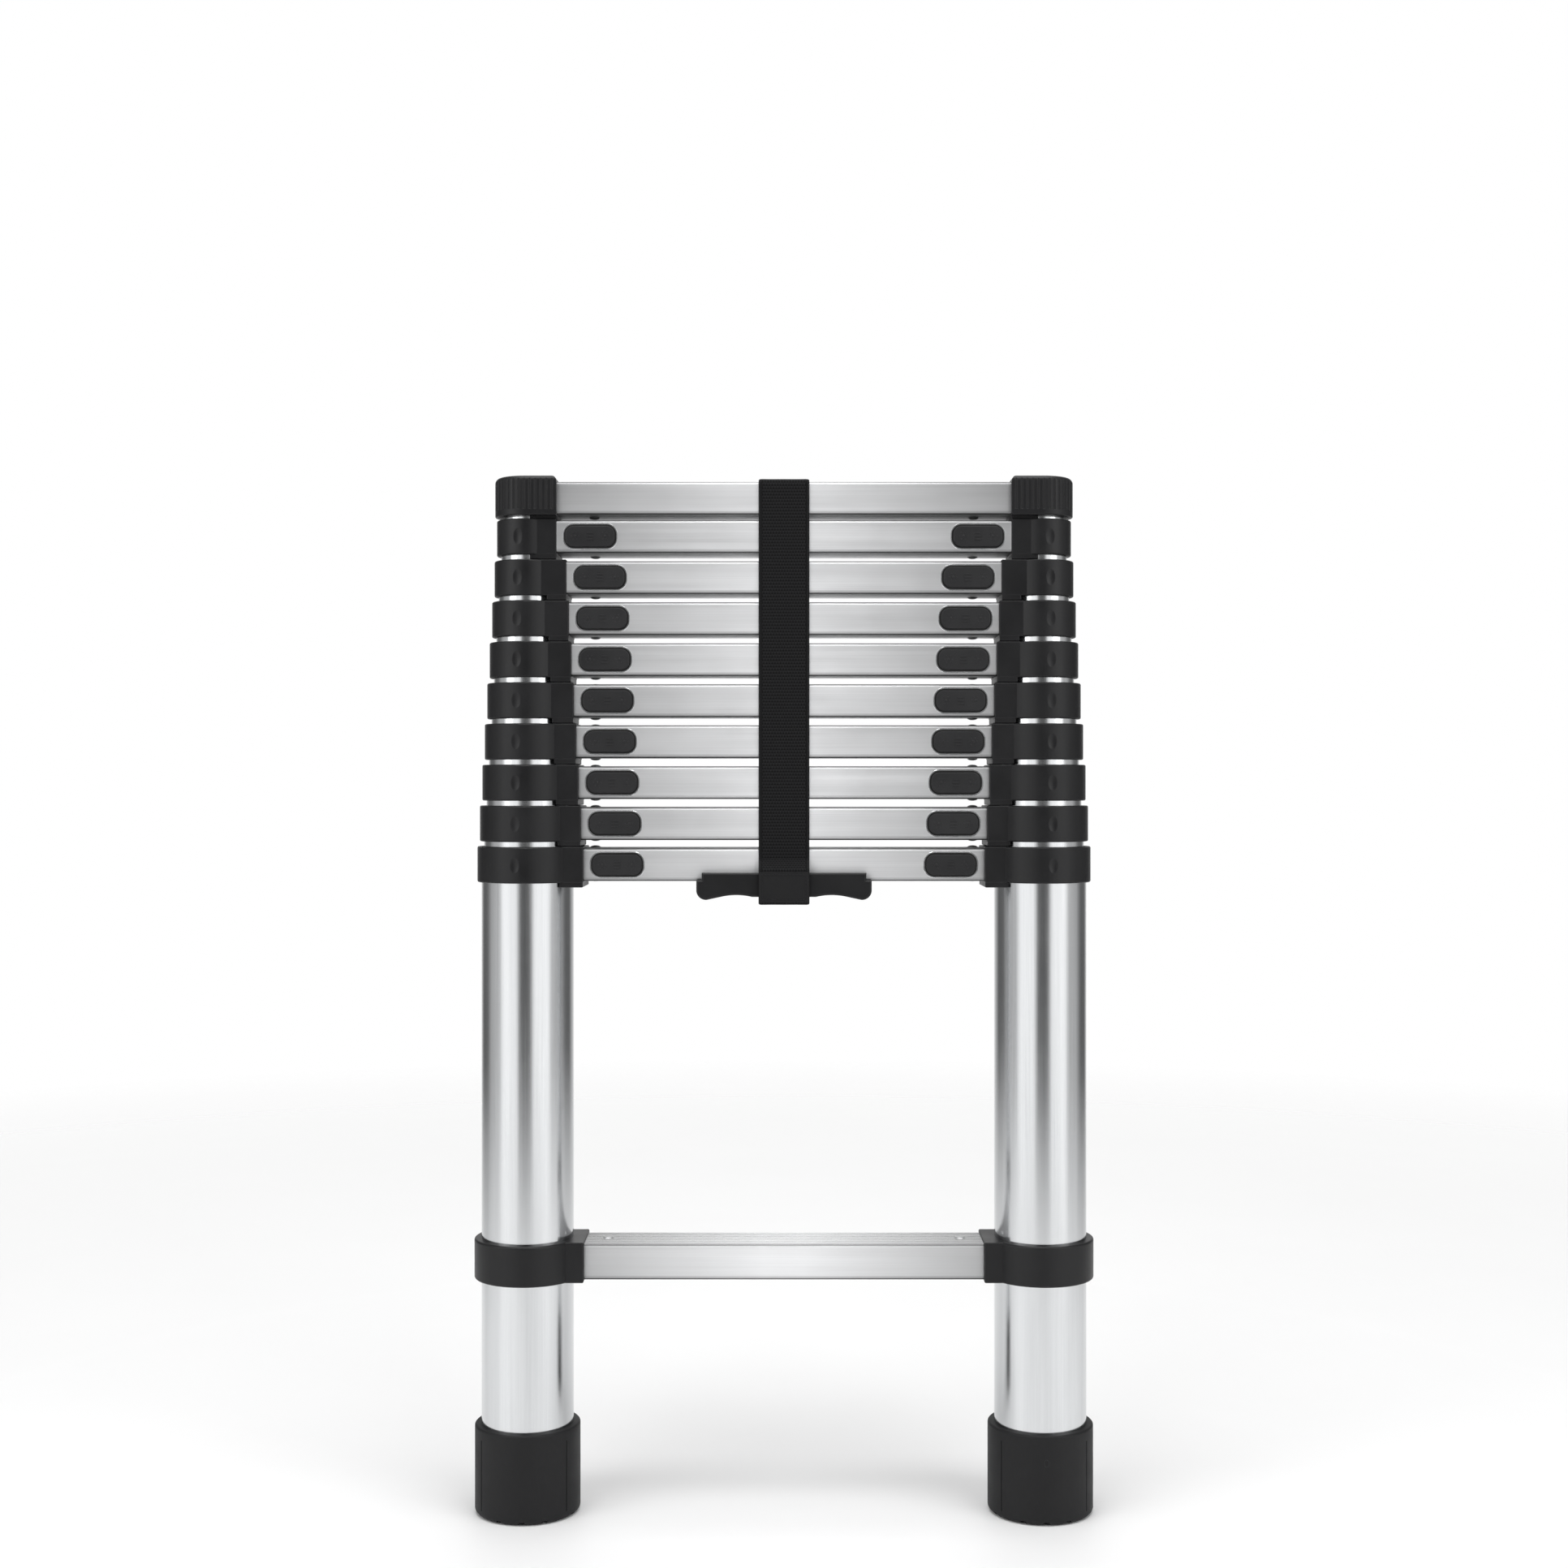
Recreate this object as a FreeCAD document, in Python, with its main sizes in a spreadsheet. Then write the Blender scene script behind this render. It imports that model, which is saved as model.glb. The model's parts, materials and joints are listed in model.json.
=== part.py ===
import FreeCAD, Part
import math
import os

from FreeCAD import Placement, Rotation, Vector

# A telescopic extension ladder, modelled closed, as it stands for storage.
#
# Ten pairs of stile tubes nest inside each other. Section 0 is the base: it stands on two rubber
# feet and carries rung 0, clamped part-way up, and rung 1 at its top. Every later section s slides
# inside section s - 1 and carries rung s + 1 at its top. Rungs 1 to 9 hold a thumb button and a
# lock pin at each end. Rung 10 is the top one, with a ribbed cap over each stile.
#
# Frame: millimetres, +Z up, +X to the right seen from the front, the front towards -Y. The origin
# is on the floor, midway between the feet. The left side is modelled and the right is its mirror.

doc = FreeCAD.newDocument("TelescopicLadder")

SECTIONS = 10
TOP_RUNG = SECTIONS  # rung numbers run from 0 to 10
BUTTON_RUNGS = range(1, TOP_RUNG)

# ---------------------------------------------------------------- driving dimensions

SIZES = {
    # stiles
    "stile_spacing": 392.0,  # between the two stile axes
    "stile_diameter": 70.0,  # outside, on the base section
    "diameter_step": 3.7,  # each section is this much thinner than the one around it
    "stile_wall": 1.4,
    "stile_length": 365.0,  # sections 1 to 9, measured down from the rung's centre
    "stile_top": 10.0,  # how far a tube rises above its rung's centre
    "guide_plug": 15.0,  # length of the guide bush inside the tube
    "guide_flange": 6.0,
    "guide_vent": 6.0,
    "guide_clearance": 0.25,
    # rungs
    "bottom_rung_level": 193.0,
    "first_rung_level": 493.0,
    "closed_pitch": 31.0,
    "open_pitch": 300.0,
    "top_rung_drop": 2.0,  # the top rung sits this far below its cap's middle
    "rung_height": 24.8,
    "bottom_rung_height": 27.3,
    "rung_depth": 42.0,
    "rung_wall": 1.8,
    "rung_corner": 2.2,
    "tread_groove": 0.7,
    "tread_groove_width": 1.6,
    "tread_pitch": 5.5,
    # collars, clamps and caps
    "collar_height": 27.2,
    "collar_wall": 3.2,
    "collar_reach": 9.6,  # from the tube's surface to the rung's end
    "foot_of_socket": 3.5,  # how far a socket's foot reaches below its ring, to rest on the next one
    "foot_start": 0.76,  # where that foot starts, as a share of the tube's radius
    "upper_foot_start": 4.0,  # and on rung 9 and the caps, out from the tube's axis
    "cap_foot": 2.1,
    "socket_depth": 25.0,  # half depth on rung 1
    "socket_taper": 0.45,  # and this much less on each later rung
    "clamp_height": 30.6,
    "clamp_wall": 5.4,
    "clamp_reach": 9.9,
    "dish_place": 6.5,  # from the tube's axis to the middle of the oval dish on a collar
    "cap_height": 30.0,
    "cap_diameter": 49.4,
    "cap_flute": 1.2,  # radius of each flute down the cap
    "cap_lip": 4.5,
    "upper_reach": 4.0,  # rung 9 and the top rung share one longer cut length
    "fit_gap": 0.15,
    # release buttons
    "button_offset": 6.2,  # from the rung's end to the bezel
    "bezel_length": 38.4,
    "bezel_height": 16.8,
    "bezel_lip": 0.4,
    "bezel_overlap": 0.8,  # how far the bezel's lip covers the rung round its opening
    "pad_margin": 0.7,  # bezel left showing round the thumb pad
    "pad_proud": 2.2,
    "pad_lift": 0.7,  # the pad slides over the rung's face, this far from it
    "button_travel": 5.0,
    "pin_diameter": 8.0,
    "pin_bore": 8.6,
    "lock_hole": 9.0,
    "rivet_place": 145.0,  # rivets, out from the ladder's middle
    "bottom_rivet_place": 134.5,
    "plug_past_rivet": 8.0,
    "rivet_shank": 4.8,
    "rivet_head": 8.0,
    "rivet_dome": 1.5,
    "rivet_back": 9.5,  # how far behind the rung's middle the rivets are, clear of the lock pin
    # feet
    "foot_height": 67.0,
    "foot_diameter": 80.2,
    "foot_floor": 6.0,
    "foot_edge": 3.6,
    "tread_depth": 2.5,
    # carrying handle and strap
    "handle_width": 132.0,
    "handle_bottom": 466.8,
    "handle_top": 487.0,
    "screw_place": 45.0,  # handle screws, out from the middle
    "screw_seat": 473.4,
    "handle_front": 29.0,
    "handle_back": 3.0,
    "strap_width": 38.5,
    "strap_thickness": 2.0,
    "strap_clearance": 0.3,
}

sheet = doc.addObject("Spreadsheet::Sheet", "Sizes")
for row, (alias, value) in enumerate(SIZES.items(), 1):
    sheet.set(f"A{row}", alias)
    sheet.set(f"B{row}", str(value))
    sheet.setAlias(f"B{row}", alias)
doc.recompute()


def cell(alias):
    return float(sheet.get(alias))


# ---------------------------------------------------------------- expressions in the sheet's names

AXIS = "(-Sizes.stile_spacing / 2)"  # x of the left stile's axis
CAVITY = "(Sizes.rung_depth / 2 - Sizes.rung_wall - Sizes.fit_gap)"  # half depth of what fits in a rung
FACE = "(-Sizes.rung_depth / 2)"  # y of a rung's front face


def radius(section):
    """Outside radius of a section's stile tubes."""
    return f"((Sizes.stile_diameter - {section} * Sizes.diameter_step) / 2)"


def bore(section):
    """Inside radius of a section's stile tubes."""
    return f"({radius(section)} - Sizes.stile_wall)"


def level(rung):
    """Height of a rung's collars, with the ladder closed."""
    if rung == 0:
        return "Sizes.bottom_rung_level"
    return f"(Sizes.first_rung_level + {rung - 1} * Sizes.closed_pitch)"


def rung_centre(rung):
    return f"({level(rung)} - Sizes.top_rung_drop)" if rung == TOP_RUNG else level(rung)


def rung_height(rung):
    return "Sizes.bottom_rung_height" if rung == 0 else "Sizes.rung_height"


def half_cavity(rung):
    """Half height of what fits inside a rung."""
    return f"({rung_height(rung)} / 2 - Sizes.rung_wall - Sizes.fit_gap)"


def section_of(rung):
    return max(rung - 1, 0)


def reach(rung):
    """Distance from the stile's axis to the rung's end."""
    extra = {
        0: "Sizes.clamp_reach",
        9: "Sizes.upper_reach",
        10: "Sizes.upper_reach + Sizes.diameter_step / 2",
    }
    return f"({radius(section_of(rung))} + {extra.get(rung, 'Sizes.collar_reach')})"


def end(rung):
    """x of the rung's left end."""
    return f"({AXIS} + {reach(rung)})"


# ---------------------------------------------------------------- small builders

ALONG_X = Rotation(Vector(0, 1, 0), 90)
ALONG_Y = Rotation(Vector(1, 0, 0), -90)
DOWN = Rotation(Vector(1, 0, 0), 180)


def bind(obj, cells):
    """Gives each named property an expression in the sheet's cells."""
    for name, expression in cells.items():
        obj.setExpression(name, str(expression))
    return obj


def at(obj, x, y, z, rotation=None):
    if rotation is not None:
        obj.Placement = Placement(Vector(), rotation)
    return bind(obj, {"Placement.Base.x": x, "Placement.Base.y": y, "Placement.Base.z": z})


def box(name, span_x, span_y, span_z):
    """A block given by its lowest and highest x, y and z."""
    obj = doc.addObject("Part::Box", name)
    spans = (span_x, span_y, span_z)
    for prop, (low, high) in zip(("Length", "Width", "Height"), spans):
        obj.setExpression(prop, f"({high}) - ({low})")
    return at(obj, *(low for low, high in spans))


def rod(name, size, length, x, y, z, rotation=None):
    """A cylinder of that radius, from its start point along +Z, or along the rotation's axis."""
    obj = doc.addObject("Part::Cylinder", name)
    bind(obj, {"Radius": size, "Height": length})
    return at(obj, x, y, z, rotation)


def fuse(name, *shapes):
    obj = doc.addObject("Part::MultiFuse", name)
    obj.Shapes = list(shapes)
    return obj


def cut(name, base, *tools):
    obj = doc.addObject("Part::Cut", name)
    obj.Base = base
    obj.Tool = tools[0] if len(tools) == 1 else fuse(name + "_tools", *tools)
    return obj


def rounded(base, size, pick):
    """Part::Fillet on the edges of base that pick(edge) chooses."""
    doc.recompute()
    obj = doc.addObject("Part::Fillet", base.Name + "_rounded")
    obj.Base = base
    edges = enumerate(base.Shape.Edges, 1)
    obj.Edges = [(number, size, size) for number, edge in edges if pick(edge)]
    return obj


def parallel_to(axis):
    """Picks the straight edges along an axis."""

    def pick(edge):
        if not isinstance(edge.Curve, Part.Line):
            return False
        return abs(abs(edge.Curve.Direction.dot(axis)) - 1) < 1e-6

    return pick


def is_circle(edge):
    return isinstance(edge.Curve, Part.Circle)


def mirrored(name, source):
    obj = doc.addObject("Part::Mirroring", name)
    obj.Source = source
    obj.Normal = Vector(1, 0, 0)
    return obj


NODES = []


def node(label, *shapes):
    """A named sub-part: one shape, or a group of separate solids that belong together."""
    obj = shapes[0]
    if len(shapes) > 1:
        obj = doc.addObject("Part::Compound", label + "_group")
        obj.Links = list(shapes)
    obj.Label = label
    if obj.Label != label:
        raise ValueError(f"the name {label} is already taken")
    NODES.append(obj)
    return obj


def pair(label, *left_shapes):
    """Left solids and their mirror images, as one node."""
    right = [mirrored(f"{shape.Name}_right", shape) for shape in left_shapes]
    return node(label, *left_shapes, *right)


# ---------------------------------------------------------------- stiles

HOLE_REACH = "Sizes.stile_diameter / 2"


def stile_bottom(section):
    if section == 0:
        return "Sizes.foot_floor"
    return f"({level(section + 1)} - Sizes.stile_length)"


def side_hole(name, section, z):
    """A round hole through the tube's wall on the side that faces the rung."""
    return rod(name, "Sizes.lock_hole / 2", HOLE_REACH, AXIS, "0", z, ALONG_X)


def stile(section):
    """One tube, with the hole its own rung's pin works through and the hole it is locked by."""
    tag = f"stile_{section}"
    bottom = stile_bottom(section)
    length = f"{level(section + 1)} + Sizes.stile_top - {bottom}"
    outside = rod(f"{tag}_outside", radius(section), length, AXIS, "0", bottom)
    removed = [rod(f"{tag}_inside", bore(section), length, AXIS, "0", bottom)]
    if section + 1 in BUTTON_RUNGS:
        removed.append(side_hole(f"{tag}_pin_hole", section, level(section + 1)))
    if section > 0:
        travel = "(Sizes.open_pitch - Sizes.closed_pitch)"
        locked_at = f"{level(section)} - {travel}"
        removed.append(side_hole(f"{tag}_lock_hole", section, locked_at))
    return cut(tag, outside, *removed)


def guide_bush(section):
    """Plug in the tube's lower end, with a flange that slides in the tube around it."""
    tag = f"guide_{section}"
    bottom = stile_bottom(section)
    wide = f"{bore(section - 1)} - Sizes.guide_clearance"
    flange = rod(
        f"{tag}_flange", wide, "Sizes.guide_flange", AXIS, "0", f"{bottom} - Sizes.guide_flange"
    )
    plug = rod(f"{tag}_plug", bore(section), "Sizes.guide_plug", AXIS, "0", bottom)
    vent = rod(f"{tag}_vent", "Sizes.guide_vent / 2", "60", AXIS, "0", f"{bottom} - 30")
    return cut(tag, fuse(f"{tag}_body", flange, plug), vent)


def make_stiles():
    for section in range(SECTIONS):
        parts = [stile(section)]
        if section > 0:
            parts.append(guide_bush(section))
        pair(f"section_{section}_stiles", *parts)


# ---------------------------------------------------------------- rungs

TREAD_GROOVES = 7
BEZEL_CORNER = 6.9
SCREW_Y = "-12"
SCREW_HOLE = "2.05"


def panel(name, rung, margin, span_y):
    """A rounded rectangle in the button's place, smaller than the bezel by a margin all round."""
    inset = cell(margin) if margin in SIZES else float(margin)
    low = f"{end(rung)} + Sizes.button_offset + {inset}"
    z = rung_centre(rung)
    half = f"(Sizes.bezel_height / 2 - {inset})"
    across = (low, f"{low} + Sizes.bezel_length - {2 * inset}")
    shape = box(name, across, span_y, (f"{z} - {half}", f"{z} + {half}"))
    return rounded(shape, BEZEL_CORNER - inset, parallel_to(Vector(0, 1, 0)))


def rivet(rung):
    """A domed rivet through the rung and the plug of its collar."""
    tag = f"rivet_{rung}"
    x, y = rivet_x(rung), rivet_y(rung)
    low = f"{rung_centre(rung)} - {rung_height(rung)} / 2"
    high = f"{rung_centre(rung)} + {rung_height(rung)} / 2"
    shank = rod(f"{tag}_shank", "Sizes.rivet_shank / 2", rung_height(rung), x, y, low)
    heads = []
    for side, z, rotation in (("upper", high, None), ("lower", low, DOWN)):
        head = doc.addObject("Part::Ellipsoid", f"{tag}_{side}_head")
        head.Angle1 = 0
        bind(
            head,
            {"Radius1": "Sizes.rivet_dome", "Radius2": "Sizes.rivet_head / 2"},
        )
        heads.append(at(head, x, y, z, rotation))
    return fuse(tag, shank, *heads)


def rivet_x(rung):
    return "(-Sizes.bottom_rivet_place)" if rung == 0 else "(-Sizes.rivet_place)"


def rivet_y(rung):
    return "Sizes.rivet_back" if rung in BUTTON_RUNGS else "0"


def rung(number):
    """A hollow extrusion with a grooved tread, and its two rivets."""
    tag = f"extrusion_{number}"
    z, height = rung_centre(number), rung_height(number)
    low, high = f"{z} - {height} / 2", f"{z} + {height} / 2"
    left, right = end(number), f"-{end(number)}"
    outside = box(
        f"{tag}_outside", (left, right), (FACE, f"-{FACE}"), (low, high)
    )
    outside = rounded(outside, cell("rung_corner"), parallel_to(Vector(1, 0, 0)))
    wall = "Sizes.rung_wall"
    removed = [
        box(
            f"{tag}_inside",
            (f"{left} - 1", f"{right} + 1"),
            (f"{FACE} + {wall}", f"-{FACE} - {wall}"),
            (f"{low} + {wall}", f"{high} - {wall}"),
        )
    ]
    for groove in range(TREAD_GROOVES):
        offset = f"({groove - (TREAD_GROOVES - 1) / 2} * Sizes.tread_pitch)"
        half = "Sizes.tread_groove_width / 2"
        removed.append(
            box(
                f"{tag}_tread_{groove}",
                (f"{left} - 1", f"{right} + 1"),
                (f"{offset} - {half}", f"{offset} + {half}"),
                (f"{high} - Sizes.tread_groove", f"{high} + 1"),
            )
        )
    hole = rod(
        f"{tag}_rivet_hole",
        "Sizes.rivet_shank / 2",
        f"{height} + 2",
        rivet_x(number),
        rivet_y(number),
        f"{low} - 1",
    )
    sided = [hole]
    if number in BUTTON_RUNGS:
        through = (f"{FACE} - 1", f"{FACE} + {wall} + 1")
        sided.append(panel(f"{tag}_window", number, cell("bezel_overlap") - 0.1, through))
    if number == 1:
        for side, place in (("left", -1), ("right", 1)):
            x = f"{place} * Sizes.screw_place"
            removed.append(
                rod(f"{tag}_screw_{side}", SCREW_HOLE, f"{wall} + 2", x, SCREW_Y, f"{low} - 1")
            )
    removed += sided + [mirrored(f"{shape.Name}_right", shape) for shape in sided]
    extrusion = cut(tag, outside, *removed)
    left_rivet = rivet(number)
    right_rivet = mirrored(f"{left_rivet.Name}_right", left_rivet)
    node(f"rung_{number}", extrusion, left_rivet, right_rivet)




# ---------------------------------------------------------------- collars, clamps and bezels


def ring_radius(number):
    wall = "Sizes.clamp_wall" if number == 0 else "Sizes.collar_wall"
    return f"({radius(section_of(number))} + {wall})"


def past_rivet(number):
    """x where a plug inside a rung ends."""
    return f"({rivet_x(number)} + Sizes.plug_past_rivet)"


def spigot(tag, number, inner_end, span_y=None):
    """The part of a fitting that plugs the end of a rung, as far as inner_end."""
    z = rung_centre(number)
    inside = span_y or (f"-{CAVITY}", CAVITY)
    return box(
        tag,
        (f"{AXIS} + {radius(section_of(number))} + 1", inner_end),
        inside,
        (f"{z} - {half_cavity(number)}", f"{z} + {half_cavity(number)}"),
    )


def rivet_clearance(tag, number):
    return rod(
        tag,
        "Sizes.rivet_shank / 2",
        "60",
        rivet_x(number),
        rivet_y(number),
        f"{rung_centre(number)} - 30",
    )


def collar(number):
    """Ring round the top of a tube, with a socket for the rung's end and a plug inside it."""
    tag = f"collar_{number}"
    section = section_of(number)
    z = level(number)
    low, high = f"({z} - Sizes.collar_height / 2)", f"({z} + Sizes.collar_height / 2)"
    ring = rod(f"{tag}_ring", ring_radius(number), "Sizes.collar_height", AXIS, "0", low)
    solids = [rounded(ring, 1.2, is_circle)]
    depth = f"(Sizes.socket_depth - {section} * Sizes.socket_taper)"
    socket = box(f"{tag}_socket", (AXIS, end(number)), (f"-{depth}", depth), (low, high))
    solids.append(rounded(socket, 0.9, lambda edge: True))
    start = "Sizes.upper_foot_start" if number == 9 else f"Sizes.foot_start * {radius(section)}"
    rest = box(
        f"{tag}_foot",
        (f"{AXIS} + {start}", f"{end(number)} - 0.3"),
        (f"-{depth} + 0.3", f"{depth} - 0.3"),
        (f"{low} - Sizes.foot_of_socket", f"{low} + 3"),
    )
    solids.append(rounded(rest, 0.8, lambda edge: True))
    solids.append(spigot(f"{tag}_spigot", number, f"{end(number)} + 8"))
    solids.append(spigot(f"{tag}_plug", number, past_rivet(number), ("5", CAVITY)))
    body = fuse(f"{tag}_body", *solids)
    inner_guide = f"({radius(section + 1)} + Sizes.guide_clearance)"
    removed = [
        rod(f"{tag}_tube_bore", radius(section), "40", AXIS, "0", f"{z} + Sizes.stile_top - 40"),
        rod(f"{tag}_guide_bore", inner_guide, "60", AXIS, "0", f"{z} - 30"),
        rod(f"{tag}_pin_bore", "Sizes.pin_bore / 2", f"{reach(number)} + 9", AXIS, "0", z, ALONG_X),
        rivet_clearance(f"{tag}_rivet_hole", number),
        dimple(tag, number, z),
    ]
    return cut(tag, body, *removed)


DISH_ACROSS, DISH_UP, DISH_DEPTH = 8.1, 18.9, 0.8  # curvatures and depth of a collar's dish


def dimple(tag, number, z):
    """Cutter for the shallow oval dish moulded in the front of a collar."""
    mark = doc.addObject("Part::Torus", f"{tag}_mark")
    mark.Radius1 = DISH_UP - DISH_ACROSS
    mark.Radius2 = DISH_ACROSS
    beside = "Sizes.dish_place"
    front = f"sqrt({ring_radius(number)} ^ 2 - {beside} ^ 2)"
    return at(mark, f"{AXIS} - {beside}", f"-({front}) - {DISH_UP - DISH_DEPTH}", z, ALONG_X)


def bezel(number):
    """The surround of a thumb button, which fills the rung's opening and has a slot for the stem."""
    tag = f"bezel_{number}"
    behind = f"{FACE} + 2.3"
    lip = panel(f"{tag}_lip", number, 0, (f"{FACE} - Sizes.bezel_lip", FACE))
    tray = panel(f"{tag}_tray", number, "bezel_overlap", (FACE, behind))
    low, high = stem_span(number)
    slot = box(
        f"{tag}_slot",
        (f"{low} - 0.3", f"{high} + Sizes.button_travel + 0.3"),
        (f"{FACE} - 5", f"{behind} + 1"),
        (f"{level(number)} - 3.3", f"{level(number)} + 3.3"),
    )
    return cut(tag, fuse(f"{tag}_body", lip, tray), slot)


def clamp():
    """Two-sided clamp that holds the bottom rung part-way up the base tube."""
    tag = "clamp_0"
    z = level(0)
    low = f"({z} - Sizes.clamp_height / 2)"
    ring = rod(f"{tag}_ring", ring_radius(0), "Sizes.clamp_height", AXIS, "0", low)
    socket = box(
        f"{tag}_socket",
        (AXIS, end(0)),
        ("-Sizes.socket_depth", "Sizes.socket_depth"),
        (low, f"{low} + Sizes.clamp_height"),
    )
    body = fuse(
        f"{tag}_body",
        rounded(ring, 1.6, is_circle),
        rounded(socket, 1.2, lambda edge: True),
        spigot(f"{tag}_spigot", 0, past_rivet(0)),
    )
    tube = rod(f"{tag}_tube_bore", radius(0), "60", AXIS, "0", f"{z} - 30")
    return cut(tag, body, tube, rivet_clearance(f"{tag}_rivet_hole", 0))


CAP_FLUTES = 19  # gaps between the flutes round a cap's outer half


def level_with(side):
    """Picks the edges that lie flat at the top (1) or the bottom (-1) of a cap."""
    middle = cell("first_rung_level") + 9 * cell("closed_pitch")

    def pick(edge):
        z = middle + side * cell("cap_height") / 2
        return all(abs(vertex.Z - z) < 1e-6 for vertex in edge.Vertexes)

    return pick


def cap_flutes(tag, low):
    """Cutters for the flutes: round the outer half of the cap, then along its flat front and back."""
    ring = "(Sizes.cap_diameter / 2 + Sizes.cap_flute / 2)"
    places = []
    for number in range(CAP_FLUTES + 1):
        angle = math.pi * (0.5 + number / CAP_FLUTES)
        places.append((f"{ring} * {math.cos(angle)}", f"{ring} * {math.sin(angle)}"))
    for number in range(1, 6):
        x = f"{ring} * {math.pi * number / CAP_FLUTES}"
        places += [(x, ring), (x, f"-{ring}")]
    start = f"{low} + Sizes.cap_lip"
    return [
        rod(f"{tag}_{number}", "Sizes.cap_flute", "Sizes.cap_height", f"{AXIS} + {x}", y, start)
        for number, (x, y) in enumerate(places)
    ]


def cap():
    """Fluted cap that closes the top of a stile: round outside, and flat where the top rung meets it."""
    tag = "cap_10"
    low = f"({level(TOP_RUNG)} - Sizes.cap_height / 2)"
    high = f"{low} + Sizes.cap_height"
    half = "Sizes.cap_diameter / 2"
    drum = rod(f"{tag}_drum", half, "Sizes.cap_height", AXIS, "0", low)
    block = box(f"{tag}_block", (AXIS, end(TOP_RUNG)), (f"-{half}", half), (low, high))
    beyond = (end(TOP_RUNG), f"{end(TOP_RUNG)} + 5")
    spare = box(f"{tag}_spare", beyond, (f"-{half}", half), (low, high))
    blank = cut(f"{tag}_blank", fuse(f"{tag}_plan", drum, block), spare)
    blank.Refine = True
    outside = rounded(blank, 4.2, level_with(1))
    outside = rounded(outside, 1.0, level_with(-1))
    fluted = cut(f"{tag}_fluted", outside, *cap_flutes(f"{tag}_flute", low))
    rest = box(
        f"{tag}_foot",
        (f"{AXIS} + Sizes.upper_foot_start", f"{end(TOP_RUNG)} - 0.3"),
        ("-Sizes.rung_depth / 2 + 1.5", "Sizes.rung_depth / 2 - 1.5"),
        (f"{low} - Sizes.cap_foot", f"{low} + 3"),
    )
    plug = spigot(f"{tag}_spigot", TOP_RUNG, past_rivet(TOP_RUNG))
    tube_low = f"{level(TOP_RUNG)} + Sizes.stile_top - 60"
    tube = rod(f"{tag}_tube_bore", radius(9), "60", AXIS, "0", tube_low)
    body = fuse(f"{tag}_body", fluted, rest, plug)
    return cut(tag, body, tube, rivet_clearance(f"{tag}_rivet_hole", TOP_RUNG))


def make_rungs():
    for number in range(TOP_RUNG + 1):
        rung(number)
    pair("rung_0_clamps", clamp())
    for number in BUTTON_RUNGS:
        pair(f"rung_{number}_collars", collar(number), bezel(number))
    pair("top_caps", cap())


# ---------------------------------------------------------------- release buttons


def stem_span(number):
    """Where the stem behind a thumb pad lies along the rung."""
    low = f"({end(number)} + Sizes.button_offset + 9)"
    return low, f"({low} + 12)"


def front_outline(edge):
    """Edges of a thumb pad's front face."""
    front = -cell("rung_depth") / 2 - cell("pad_proud")
    return all(abs(vertex.Y - front) < 1e-6 for vertex in edge.Vertexes)


def release_button(number):
    """Thumb pad with its slider, and the steel lock pin that the slider pulls back."""
    tag = f"button_{number}"
    z, x = level(number), end(number)
    behind_pad = f"{FACE} - Sizes.pad_lift"
    pad = panel(f"{tag}_pad", number, "pad_margin", (f"{FACE} - Sizes.pad_proud", behind_pad))
    pad = rounded(pad, 0.6, front_outline)
    low, high = stem_span(number)
    stem = box(
        f"{tag}_stem", (low, high), (behind_pad, f"{FACE} + 4"), (f"{z} - 3", f"{z} + 3")
    )
    link = box(
        f"{tag}_link",
        (f"{x} + 10", high),
        (f"{FACE} + 2.6", f"{FACE} + 5.5"),
        (f"{z} - 4.5", f"{z} + 4.5"),
    )
    arm = box(
        f"{tag}_arm",
        (f"{x} + 10", f"{x} + 14"),
        (f"{FACE} + 2.6", "4"),
        (f"{z} - 5", f"{z} + 5"),
    )
    slider = fuse(f"{tag}_slider", pad, stem, link, arm)
    tip = f"({AXIS} + {radius(number)} + 0.6)"
    pin = rod(f"{tag}_pin", "Sizes.pin_diameter / 2", f"{x} + 10 - {tip}", tip, "0", z, ALONG_X)
    node(f"release_button_left_{number}", slider, pin)
    node(
        f"release_button_right_{number}",
        mirrored(f"{tag}_slider_right", slider),
        mirrored(f"{tag}_pin_right", pin),
    )


# ---------------------------------------------------------------- feet

FOOT_GROOVE_ANGLE = 53  # degrees from the front, of the moulded lines down a foot


def on_floor(edge):
    return is_circle(edge) and edge.BoundBox.ZMax < 1


def foot():
    """Rubber cup on the end of a base tube, with a lugged sole."""
    tag = "foot"
    outer = "Sizes.foot_diameter / 2"
    outside = rod(f"{tag}_outside", outer, "Sizes.foot_height", AXIS, "0", "0")
    outside = rounded(outside, 1.6, lambda edge: is_circle(edge) and edge.BoundBox.ZMin > 1)
    outside = rounded(outside, cell("foot_edge"), on_floor)
    tube = rod(f"{tag}_tube_bore", radius(0), "Sizes.foot_height", AXIS, "0", "Sizes.foot_floor")
    removed = [tube]
    for name, across in (("side", 0), ("front", 90)):
        for offset in (-17, 0, 17):
            channel = doc.addObject("Part::Box", f"{tag}_{name}_channel_{offset + 17}")
            bind(
                channel,
                {
                    "Length": "Sizes.foot_diameter + 2",
                    "Width": "4",
                    "Height": "Sizes.tread_depth",
                },
            )
            half = cell("foot_diameter") / 2 + 1
            turn = Rotation(Vector(0, 0, 1), across)
            corner = turn.multVec(Vector(-half, offset - 2, 0))
            at(channel, f"{AXIS} + {corner.x}", f"{corner.y}", "0", turn)
            removed.append(channel)
    for side in (-1, 1):
        angle = math.radians(side * FOOT_GROOVE_ANGLE)
        groove_x = f"{AXIS} + {outer} * {math.sin(angle)}"
        groove_y = f"-{outer} * {math.cos(angle)}"
        name = f"{tag}_line_{'right' if side > 0 else 'left'}"
        removed.append(rod(name, "0.7", "Sizes.foot_height - 14", groove_x, groove_y, "6"))
    return cut(tag, outside, *removed)


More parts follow.
